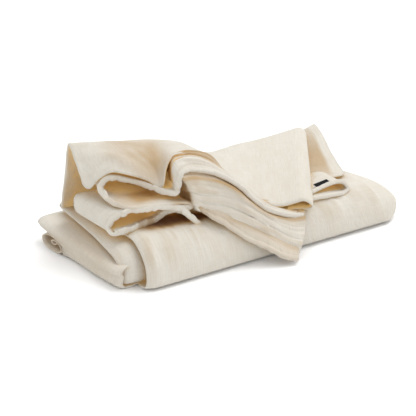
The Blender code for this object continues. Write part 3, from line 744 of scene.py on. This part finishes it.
flap = points_net(FLAP)
flap = np.concatenate([flap[:, :1] + FLAP_UNDER, flap], axis=1)
shade = np.broadcast_to(np.array(FLAP_SHADE)[:, None], flap.shape[:2] + (1,))
flap = fine(np.concatenate([flap, shade], axis=2), step=3.2, step_across=1.45)
flap, shade = flap[..., :3], flap[..., 3]
where = fabric_of(flap)
ribs = rippled(where, *FLAP_RIBS)
below = where[..., 1] - np.linalg.norm(FLAP_UNDER)
shade = np.maximum(shade, FLAP_SHADOW_LINE * np.exp(-(below / FLAP_SHADOW_LINE_WIDTH) ** 2))
shade = (shade + FLAP_RIB_SHADE * np.maximum(-ribs, 0))[:, ::-1]
flap = curled(moved(flap, FLAP_RIB * ribs)[:, ::-1], FLAP_FOLD_RADIUS, FLAP_FOLD_TAIL)
shade = np.pad(shade, ((0, 0), (flap.shape[1] - shade.shape[1], 0)))
lay(flap, patch=(600.0, 1200.0), shown=0.3, shade=shade)

# The hemmed band of the corner, which shows below that fold.
BAND_FULL = 0.75
BAND_SHADE = 0.22
BAND_SHADOW_LINE = 0.6          # and a painted shadow line close under the fold, this wide
BAND_SHADOW_LINE_WIDTH = 5.0
BAND = (
    # section       top_x  top_y top_z  hem_x  hem_y hem_z
    ("left edge",    88.8,  12.0, 67.1,  88.4,   7.0, 63.0),
    ("over front",  100.0,   7.0, 61.7,  98.1,   2.5, 52.9),
    ("shoulder",    112.9,   1.0, 56.2, 106.6,  -4.5, 46.1),
    ("upper",       122.8,  -4.0, 51.7, 116.7, -11.0, 37.4),
    ("middle",      132.4,  -9.5, 46.8, 125.0, -17.5, 29.4),
    ("lower",       143.6, -14.5, 40.3, 134.6, -23.0, 23.3),
    ("low",         153.5, -19.5, 32.5, 145.0, -30.0, 16.9),
    ("foot",        163.1, -25.0, 25.0, 154.1, -38.0, 10.7),
    ("foot right",  171.8, -30.0, 18.5, 162.1, -44.0,  6.4),
    ("tip",         182.2, -33.5, 13.9, 171.9, -46.5,  4.3),
)

band = hemmed(fine_rows(points_net(BAND)[:, ::-1], step=1.6), step=2.5)
band, half, _ = puckered(band, 65, BAND_FULL)
band = off_floor(band)
fold_line = flap[:, FLAP_FOLD_EDGE]
from_fold = np.linalg.norm(band[:, :, None] - fold_line, axis=3).min(axis=2)
shade = BAND_SHADE + BAND_SHADOW_LINE * np.exp(-(from_fold / BAND_SHADOW_LINE_WIDTH) ** 2)
lay(band, half, patch=(900.0, 1200.0), shown=0.3, shade=shade)

# The top layer that shows behind the panel, with a shallow valley across it.
BACK_EDGE = (0.0, 1.0, 2.5)       # its first columns, close together at its left edge
BACK_WAVE = (14.0, 20.0, 71, 0.8)
BACK_SHADE = 0.75                 # the panel keeps the light off it, except on its right strip
BACK_SHADE_Y = 80.0
BACK_SHADE_WIDTH = 45.0
BACK_STRIP = 9.0
BACK_LAYER = (
    # line          left_x left_y left_z right_x right_y right_z
    ("front edge",   227.1,    32,  44.8,  283.9,     33,   39.8),
    ("brow",         230.1,    38,  45.1,  289.8,     38,   39.7),
    ("valley",       236.0,    50,  42.5,  297.0,     50,   35.7),
    ("middle",       256.7,    78,  42.9,  304.8,     78,   38.8),
    ("upper",        265.5,    96,  43.9,  310.6,     96,   43.9),
    ("back",         272.3,   111,  45.5,  315.0,    112,   49.6),
    ("corner",       281.7,   128,  44.6,  317.7,    129,   54.2),
    ("corner fold",  289.3,   139,  36.4,  322.1,    138,   43.7),
    ("corner foot",  276.0,   140,  26.0,  300.0,    137,   19.0),
)

back = fine_rows(points_net(BACK_LAYER), step=3.0)
back = across_at(back, np.array(BACK_EDGE), step=4.0)
where = fabric_of(back)
back = moved(back, rippled(where, BACK_WAVE))
shade = (np.exp(-((back[..., 1] - BACK_SHADE_Y) / BACK_SHADE_WIDTH) ** 2)
         * ramp(where[..., 1].max() - where[..., 1], BACK_STRIP, BACK_STRIP + 3))
lay(back, patch=(300.0, 1500.0), shown=0.5, shade=BACK_SHADE * shade)

# The small hemmed loop in front of that layer, closed at its right. lift is how much of its
# fall a line takes as the loop runs back from its hem.
LOOP_FULL = 0.5
LOOP_SHOWN = 0.8
LOOP_RUN = (
    # place        x     y  fall
    ("hem back",  0.6,  5.0,  2.4),
    ("near",      2.0, 17.0,  4.5),
    ("middle",    4.0, 32.0,  6.5),
    ("back",      6.0, 46.0,  8.0),
)
LOOP = (
    # line           hem_x hem_y hem_z lift
    ("upper left",   224.2,  5.0, 45.8, 1.0),
    ("upper",        244.4,  6.0, 49.1, 1.0),
    ("upper right",  259.0,  5.0, 49.9, 1.0),
    ("tip top",      266.5,  3.0, 46.7, 0.9),
    ("tip",          269.3,  1.5, 41.5, 0.6),
    ("tip low",      265.6,  0.0, 38.2, 0.2),
    ("lower right",  257.5, -1.5, 38.4, 0.0),
    ("lower",        239.7, -2.5, 40.5, 0.0),
    ("lower left",   215.3, -2.5, 42.5, 0.0),
)

loop = np.array([[(x, y, z)] + [(x + over, y + behind, z - fall * lift)
                                for over, behind, fall in columns(LOOP_RUN)]
                 for x, y, z, lift in columns(LOOP)])
loop = hemmed(fine(loop, step=1.7, step_across=2.0), step=5.0)
loop, half, shown = puckered(loop, 81, LOOP_FULL)
lay(loop, half, patch=(600.0, 1500.0), shown=LOOP_SHOWN * shown)


def mesh_of(name, points, faces):
    mesh = bpy.data.meshes.new(name)
    mesh.from_pydata(np.array(points).tolist(), [], np.array(faces).tolist())
    mesh.validate()
    mesh.update()
    mesh.shade_smooth()
    made = bpy.data.objects.new(name, mesh)
    bpy.context.scene.collection.objects.link(made)
    return made


points = (np.concatenate(cloth_points) - CENTRE) * MM
faces = np.concatenate(cloth_faces)
cloth = mesh_of("muslin_cloth", points, faces)

# How shut in each spot is, from 0 in the open to 1 deep in a fold, where golden shade is painted
# into the cream: a fan of lines goes out from it, and those that soon meet the cloth again count
# most.
FAN_LINES = 20
FAN_REACH = 0.09         # metres
FAN_START = 0.0004
FAN_FALL = 0.75          # how much less a far meeting counts
GOLDEN_ANGLE = math.pi * (3 - math.sqrt(5))
cloth_tree = BVHTree.FromPolygons(points.tolist(), faces.tolist())
share = (np.arange(FAN_LINES) + 0.5) / FAN_LINES
bearing = share * FAN_LINES * GOLDEN_ANGLE
spread = np.sqrt(share)
fan = np.stack([spread * np.cos(bearing), spread * np.sin(bearing), np.sqrt(1 - share)], axis=1)
depth = np.zeros(len(points))
for index, vertex in enumerate(cloth.data.vertices):
    normal = vertex.normal
    turn = normal.to_track_quat("Z", "Y").to_matrix()
    start = vertex.co + normal * FAN_START
    for line in fan @ np.array(turn).T:
        found = cloth_tree.ray_cast(start, Vector(line), FAN_REACH)
        if found[0] is not None:
            depth[index] += (1 - found[3] / FAN_REACH * FAN_FALL) / FAN_LINES
light = np.concatenate(cloth_light)
for name, value in (("fold_depth", depth * light[:, 0]), ("shade", light[:, 1])):
    tint = cloth.data.attributes.new(name, "FLOAT", "POINT")
    tint.data.foreach_set("value", value.astype(np.float32))
fabric = np.concatenate(cloth_fabric) * MM
corner = np.zeros(len(cloth.data.loops), np.int32)
cloth.data.loops.foreach_get("vertex_index", corner)
layer = cloth.data.uv_layers.new(name="flat_cloth")
layer.data.foreach_set("uv", fabric[corner].astype(np.float32).ravel())


class Wire:
    """One output of a shader node. Sums, differences and products of wires add Math nodes."""

    def __init__(self, tree, socket=None):
        self.tree = tree
        self.socket = socket

    def node(self, kind, settings, sockets, output=0):
        made = self.tree.nodes.new("ShaderNode" + kind)
        for key, value in settings.items():
            setattr(made, key, value)
        for key, value in sockets.items():
            if isinstance(value, Wire):
                self.tree.links.new(value.socket, made.inputs[key])
            else:
                made.inputs[key].default_value = value
        return Wire(self.tree, made.outputs[output] if made.outputs else None)

    def beside(self, output):
        """Another output of the same node."""
        return Wire(self.tree, self.socket.node.outputs[output])

    def math(self, operation, first, second):
        return self.node("Math", {"operation": operation}, {0: first, 1: second})

    def __add__(self, other):
        return self.math("ADD", self, other)

    def __sub__(self, other):
        return self.math("SUBTRACT", self, other)

    def __rsub__(self, other):
        return self.math("SUBTRACT", other, self)

    def __mul__(self, other):
        return self.math("MULTIPLY", self, other)

    __radd__ = __add__
    __rmul__ = __mul__

    def clamped(self, low, high):
        """0 at low, 1 at high and smooth between."""
        return self.node("MapRange", {"interpolation_type": "SMOOTHSTEP"},
                         {"Value": self, "From Min": low, "From Max": high})

    def dyed(self, plain, full):
        """The colour plain where this is 0 and full where it is 1."""
        return self.node("Mix", {"data_type": "RGBA"}, {0: self, 6: plain, 7: full}, 2)


def new_finish(name):
    """An empty material and a wire to build it with."""
    made = bpy.data.materials.new(name)
    made.use_nodes = True
    made.node_tree.nodes.clear()
    return made, Wire(made.node_tree)


CREAM = (0.690, 0.656, 0.590, 1.0)
CREAM_DARK = (0.625, 0.580, 0.500, 1.0)
# Honey, gold and deep gold are painted shade and bounced light in the folds, shallow to deep.
FOLD_SHADE_HONEY = (0.660, 0.545, 0.385, 1.0)
FOLD_SHADE_GOLD = (0.740, 0.545, 0.245, 1.0)
DEEP_FOLD_SHADE_GOLD = (0.440, 0.280, 0.110, 1.0)
FULL_LIGHT = (1.0, 1.0, 1.0, 1.0)
TAN = (0.66, 0.46, 0.24, 1.0)         # what is left of the light in the shade
BROWN = (0.30, 0.15, 0.05, 1.0)       # and in the darkest gaps
SHUT = (0.0, 0.0, 0.0, 1.0)
PAINTED_FOLD_GLOW = (0.110, 0.074, 0.030, 1.0)     # painted glow for daylight that comes through the gauze into the folds
THREADS_PER_M = 900.0

muslin, thread = new_finish("muslin")
flat = thread.node("UVMap", {"uv_map": "flat_cloth"}, {})
down = thread.node("SeparateXYZ", {}, {0: flat})
over = down.beside(1)
fold = thread.node("Attribute", {"attribute_name": "fold_depth"}, {}, 2)
dimmed = thread.node("Attribute", {"attribute_name": "shade"}, {}, 2)


def streaks(across_scale, along_scale):
    """Noise drawn out along the cloth."""
    scaled = thread.node("VectorMath", {"operation": "MULTIPLY"},
                         {0: flat, 1: (along_scale, across_scale, 1.0)})
    return thread.node("TexNoise", {}, {"Vector": scaled, "Scale": 1.0, "Detail": 2.0})


warp = streaks(across_scale=700.0, along_scale=60.0)
weft = streaks(across_scale=60.0, along_scale=700.0)
puff = thread.node("TexNoise", {}, {"Vector": flat, "Scale": 260.0, "Detail": 2.0})
soft = thread.node("TexNoise", {}, {"Vector": flat, "Scale": 40.0, "Detail": 2.0})
grid = (thread.math("SINE", down * (THREADS_PER_M * 2 * math.pi), 0.0)
        * thread.math("SINE", over * (THREADS_PER_M * 2 * math.pi), 0.0))
weave = grid * 0.12 + warp * 0.8 + weft * 0.6 + puff * 0.7
slubbed = (warp * 0.5 + weft * 0.3 + soft * 0.4).clamped(0.4, 0.85)
tint = slubbed.dyed(CREAM_DARK, CREAM)
# Painted shade and bounced light in the folds: the cream turns honey, then gold, then deep gold.
tint = fold.clamped(0.08, 0.42).dyed(tint, FOLD_SHADE_HONEY)
tint = fold.clamped(0.32, 0.66).dyed(tint, FOLD_SHADE_GOLD)
tint = fold.clamped(0.78, 1.0).dyed(tint, DEEP_FOLD_SHADE_GOLD)
left = dimmed.dyed(FULL_LIGHT, TAN)
left = (dimmed - 1.0).dyed(left, BROWN)
tint = thread.node("Mix", {"data_type": "RGBA", "blend_type": "MULTIPLY"},
                   {0: 1.0, 6: tint, 7: left}, 2)
# A painted glow in folds of middle depth, none in the deepest and none under painted shade.
painted_glow = fold.clamped(0.22, 0.60).dyed(SHUT, PAINTED_FOLD_GLOW)
painted_glow = fold.clamped(0.76, 0.94).dyed(painted_glow, SHUT)
painted_glow = dimmed.clamped(0.6, 1.2).dyed(painted_glow, SHUT)
gauze = thread.node("BsdfPrincipled", {}, {
    "Base Color": tint,
    "Roughness": 0.92,
    "Specular IOR Level": 0.2,
    "Sheen Weight": 0.1,
    "Sheen Roughness": 0.5,
    "Emission Color": painted_glow,
    "Emission Strength": 1.0,
    "Normal": thread.node("Bump", {}, {"Strength": 0.55, "Distance": 0.0012, "Height": weave}),
})
thread.node("OutputMaterial", {}, {"Surface": gauze})
cloth.data.materials.append(muslin)

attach(cloth, "root")
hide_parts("cloth")

# ------------------------------------------------------------
# The label. A short black woven tape, folded in two and caught in the hem of the small loop.
# It is plain on both sides.
# ------------------------------------------------------------
LABEL_BLACK = (0.012, 0.012, 0.013, 1.0)
RIDGES_PER_M = 600.0
tape, yarn = new_finish("label_tape")
place = yarn.node("TexCoord", {}, {}, 3)
ridges = yarn.node("TexWave", {"wave_type": "BANDS"}, {"Vector": place, "Scale": RIDGES_PER_M})
satin = yarn.node("BsdfPrincipled", {}, {
    "Base Color": LABEL_BLACK,
    "Roughness": 0.9,
    "Specular IOR Level": 0.1,
    "Normal": yarn.node("Bump", {}, {"Strength": 0.4, "Distance": 0.0003, "Height": ridges}),
})
yarn.node("OutputMaterial", {}, {"Surface": satin})
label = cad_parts["label"]
label.data.materials.clear()
label.data.materials.append(tape)

# ------------------------------------------------------------
# The studio. A sheet of white paper for a floor, an even white room and one large soft lamp from
# the right, with the camera low at the front left, far off behind a long lens.
# ------------------------------------------------------------
FLOOR_REACH = 4.0
FLOOR_WHITE = (0.95, 0.95, 0.95, 1.0)
FLOOR_ROUGHNESS = 0.9
floor = mesh_of("floor", [(-FLOOR_REACH, -FLOOR_REACH, 0), (FLOOR_REACH, -FLOOR_REACH, 0),
                          (FLOOR_REACH, FLOOR_REACH, 0), (-FLOOR_REACH, FLOOR_REACH, 0)],
                [(0, 1, 2, 3)])
paper, pulp = new_finish("floor_paper")
matt = pulp.node("BsdfPrincipled", {}, {"Base Color": FLOOR_WHITE, "Roughness": FLOOR_ROUGHNESS})
pulp.node("OutputMaterial", {}, {"Surface": matt})
floor.data.materials.append(paper)

ROOM_WHITE = (1.0, 1.0, 1.0, 1.0)
ROOM_STRENGTH = 0.95
room = bpy.data.worlds.new("room")
room.use_nodes = True
room.node_tree.nodes["Background"].inputs["Color"].default_value = ROOM_WHITE
room.node_tree.nodes["Background"].inputs["Strength"].default_value = ROOM_STRENGTH
bpy.context.scene.world = room

LAMP_SPREAD = math.radians(40.0)
LAMP_ENERGY = 1.35
LAMP_FROM = Vector((0.85, 0.1, 1.7))
key = bpy.data.lights.new("key", "SUN")
key.angle = LAMP_SPREAD
key.energy = LAMP_ENERGY
lamp = bpy.data.objects.new("key", key)
lamp.rotation_mode = "QUATERNION"
lamp.rotation_quaternion = LAMP_FROM.to_track_quat("Z", "Y")
bpy.context.scene.collection.objects.link(lamp)

AZIMUTH = math.radians(-35.0)
ELEVATION = math.radians(24.0)
DISTANCE = 8.0
LOOKED_AT = Vector((-0.0331, -0.0015, 0.037))
SENSOR = 36.0
FOCAL_LENGTH = 692.0
lens = bpy.data.cameras.new("camera")
lens.sensor_width = SENSOR
lens.lens = FOCAL_LENGTH
camera = bpy.data.objects.new("camera", lens)
backwards = Vector((math.sin(AZIMUTH) * math.cos(ELEVATION),
                    -math.cos(AZIMUTH) * math.cos(ELEVATION), math.sin(ELEVATION)))
camera.location = LOOKED_AT + backwards * DISTANCE
camera.rotation_mode = "QUATERNION"
camera.rotation_quaternion = backwards.to_track_quat("Z", "Y")
bpy.context.scene.collection.objects.link(camera)
bpy.context.scene.camera = camera
bpy.context.scene.view_settings.view_transform = "Standard"
